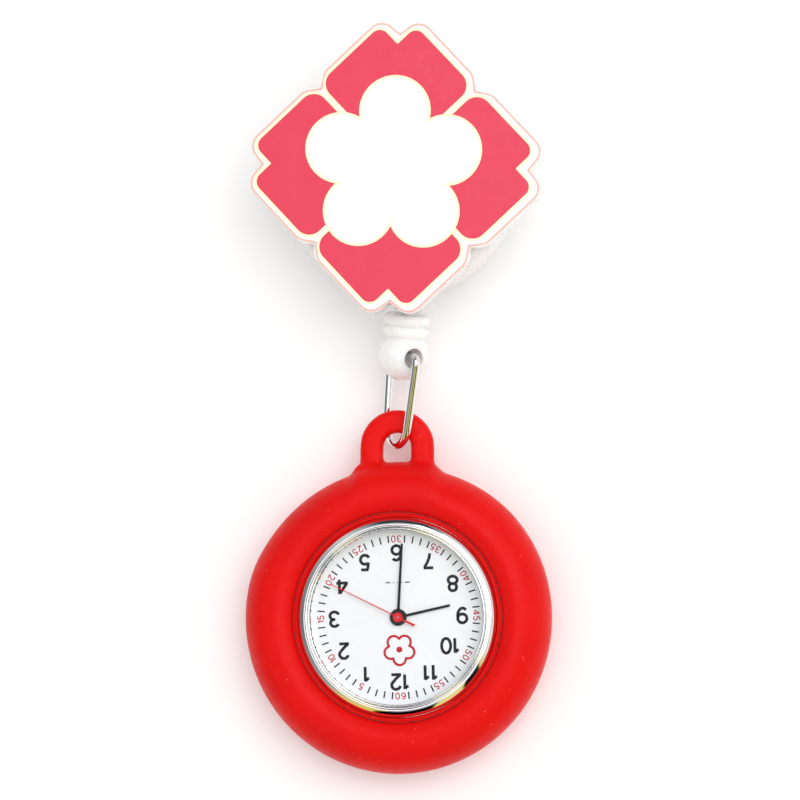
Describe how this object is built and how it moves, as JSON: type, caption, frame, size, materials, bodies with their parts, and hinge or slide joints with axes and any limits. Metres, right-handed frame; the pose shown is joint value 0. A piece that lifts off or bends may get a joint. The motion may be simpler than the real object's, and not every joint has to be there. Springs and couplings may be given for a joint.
{
  "type": "fob watch",
  "caption": "Nurse's fob watch: lobed emblem plate on a round retracting reel with a spring clip, cord, ribbed ball connector, wire loop and a round analogue quartz watch in a soft red case.",
  "frame": {"origin": "centre of the bounding box on the table plane it lies on", "axes": "+Z is the way the dial and the emblem face, +Y runs from the watch to the reel, +X to the right when seen from the front"},
  "size_m": [0.0436, 0.104, 0.0157],
  "materials": {
    "clear_acrylic": "polished clear acrylic with a print",
    "adhesive": "foam tape",
    "white_plastic": "glossy moulded",
    "spool_plastic": "moulded",
    "spring_steel": "bright rolled",
    "cord": "braided nylon",
    "brass": "satin",
    "plated_steel": "nickel plated",
    "washer_plastic": "moulded",
    "chrome_wire": "polished",
    "red_silicone": "satin silicone",
    "chrome_case": "polished",
    "mineral_glass": "polished",
    "gasket": "matt",
    "dial_paint": "silvery white",
    "black_paint": "gloss",
    "red_paint": "gloss",
    "wheel_plastic": "moulded acetal",
    "magnet": "plated magnet",
    "movement_plastic": "moulded",
    "motor_steel": "stamped",
    "copper_wire": "enamelled winding",
    "board": "solder mask",
    "cell_steel": "satin",
    "back_steel": "brushed"
  },
  "bodies": {
    "reel": {"reel_front_cover": "white_plastic", "reel_back_cover": "white_plastic", "emblem_plate": "clear_acrylic", "emblem_adhesive": "adhesive", "cord_eyelet": "white_plastic", "cord_inner_run": "cord", "clip_rivet": "plated_steel"},
    "spool": {"spool": "spool_plastic", "cord_coil": "cord", "power_spring": "spring_steel"},
    "clip": {"clip_upper_jaw": "plated_steel", "clip_pin": "plated_steel", "clip_washer": "washer_plastic", "clip_spring": "spring_steel"},
    "clip_lever": {"clip_lower_jaw": "plated_steel"},
    "cord_end": {"cord_outer_run": "cord", "cord_crimp": "brass"},
    "bead": {"bead": "white_plastic"},
    "loop": {"wire_loop": "chrome_wire"},
    "watch": {"silicone_case": "red_silicone", "watch_case": "chrome_case", "crystal": "mineral_glass", "crystal_gasket": "gasket", "dial": "dial_paint", "movement_holder": "movement_plastic", "main_plate": "movement_plastic", "train_bridge": "movement_plastic", "stator": "motor_steel", "coil_core": "motor_steel", "coil_winding": "copper_wire", "circuit_board": "board", "quartz_crystal": "plated_steel", "battery": "cell_steel", "battery_strap": "spring_steel", "movement_screws": "plated_steel", "setting_lever": "spring_steel", "case_back": "back_steel", "case_back_gasket": "gasket"},
    "seconds": {"second_hand": "red_paint", "second_wheel": "brass"},
    "minutes": {"minute_hand": "black_paint", "centre_wheel": "brass"},
    "hours": {"hour_hand": "black_paint", "hour_wheel": "brass"},
    "third": {"third_wheel": "brass"},
    "intermediate": {"intermediate_wheel": "wheel_plastic"},
    "rotor": {"rotor": "magnet"},
    "minute_wheel": {"minute_wheel": "brass"},
    "clutch": {"clutch_wheel": "plated_steel"},
    "crown": {"stem": "plated_steel", "crown": "chrome_case", "crown_gasket": "gasket"}
  },
  "joints": [
    {"name": "cord_pull", "type": "slide", "parent": "reel", "child": "cord_end", "axis": [0, -1, 0], "range_m": [0, 0.6], "stiffness_N_per_m": 1.2, "springref_m": -0.8},
    {"name": "spool_spin", "type": "hinge", "parent": "reel", "child": "spool", "pos_m": [0.0004, 0.03085, 0.009], "axis": [0, 0, 1], "range_deg": [0, 3620], "deforming": ["power_spring"]},
    {"name": "bead_swivel", "type": "hinge", "parent": "cord_end", "child": "bead", "pos_m": [0.00062, 0.00639, 0.00764], "axis": [0.1188, 0.9725, 0.2001], "continuous": true},
    {"name": "loop_swing", "type": "hinge", "parent": "bead", "child": "loop", "pos_m": [0.00065, 0.00658, 0.00768], "axis": [0.5316, -0.2326, 0.8145], "range_deg": [-50, 50]},
    {"name": "watch_swing", "type": "hinge", "parent": "loop", "child": "watch", "pos_m": [-0.0005, -0.0028, 0.00575], "axis": [0.8386, 0.0096, -0.5446], "range_deg": [-45, 45]},
    {"name": "clip_swivel", "type": "hinge", "parent": "reel", "child": "clip", "pos_m": [0.0004, 0.03085, 0.0045], "axis": [0, 0, 1], "continuous": true},
    {"name": "clip_open", "type": "hinge", "parent": "clip", "child": "clip_lever", "pos_m": [0.0004, 0.03605, 0.00245], "axis": [1, 0, 0], "range_deg": [0, 18], "stiffness_Nm_per_rad": 0.01, "springref_deg": -11.46, "deforming": ["clip_spring"]},
    {"name": "second_spin", "type": "hinge", "parent": "watch", "child": "seconds", "pos_m": [0, -0.03025, 0.008], "axis": [0, 0, -1], "continuous": true},
    {"name": "minute_spin", "type": "hinge", "parent": "watch", "child": "minutes", "pos_m": [0, -0.03025, 0.008], "axis": [0, 0, -1], "continuous": true},
    {"name": "hour_spin", "type": "hinge", "parent": "watch", "child": "hours", "pos_m": [0, -0.03025, 0.008], "axis": [0, 0, -1], "continuous": true},
    {"name": "third_spin", "type": "hinge", "parent": "watch", "child": "third", "pos_m": [0.0017, -0.02731, 0.0054], "axis": [0, 0, -1], "continuous": true},
    {"name": "intermediate_spin", "type": "hinge", "parent": "watch", "child": "intermediate", "pos_m": [-0.00271, -0.03123, 0.0049], "axis": [0, 0, -1], "continuous": true},
    {"name": "rotor_spin", "type": "hinge", "parent": "watch", "child": "rotor", "pos_m": [-0.00366, -0.03387, 0.0055], "axis": [0, 0, -1], "continuous": true},
    {"name": "minute_wheel_spin", "type": "hinge", "parent": "watch", "child": "minute_wheel", "pos_m": [0.0018, -0.03337, 0.0073], "axis": [0, 0, -1], "continuous": true},
    {"name": "crown_turn", "type": "hinge", "parent": "watch", "child": "clutch", "pos_m": [-0.016, -0.03025, 0.0056], "axis": [-1, 0, 0], "continuous": true},
    {"name": "crown_pull", "type": "slide", "parent": "clutch", "child": "crown", "axis": [-1, 0, 0], "range_m": [0, 0.0006]}
  ],
  "couplings": [
    {"joint": "spool_spin", "follows": "cord_pull", "rad_per_m": 105},
    {"joint": "third_spin", "follows": "second_spin", "ratio": -0.13333},
    {"joint": "minute_spin", "follows": "second_spin", "ratio": 0.016667},
    {"joint": "minute_wheel_spin", "follows": "second_spin", "ratio": -0.0055556},
    {"joint": "hour_spin", "follows": "second_spin", "ratio": 0.0013889},
    {"joint": "intermediate_spin", "follows": "second_spin", "ratio": -5},
    {"joint": "rotor_spin", "follows": "second_spin", "ratio": 30}
  ]
}
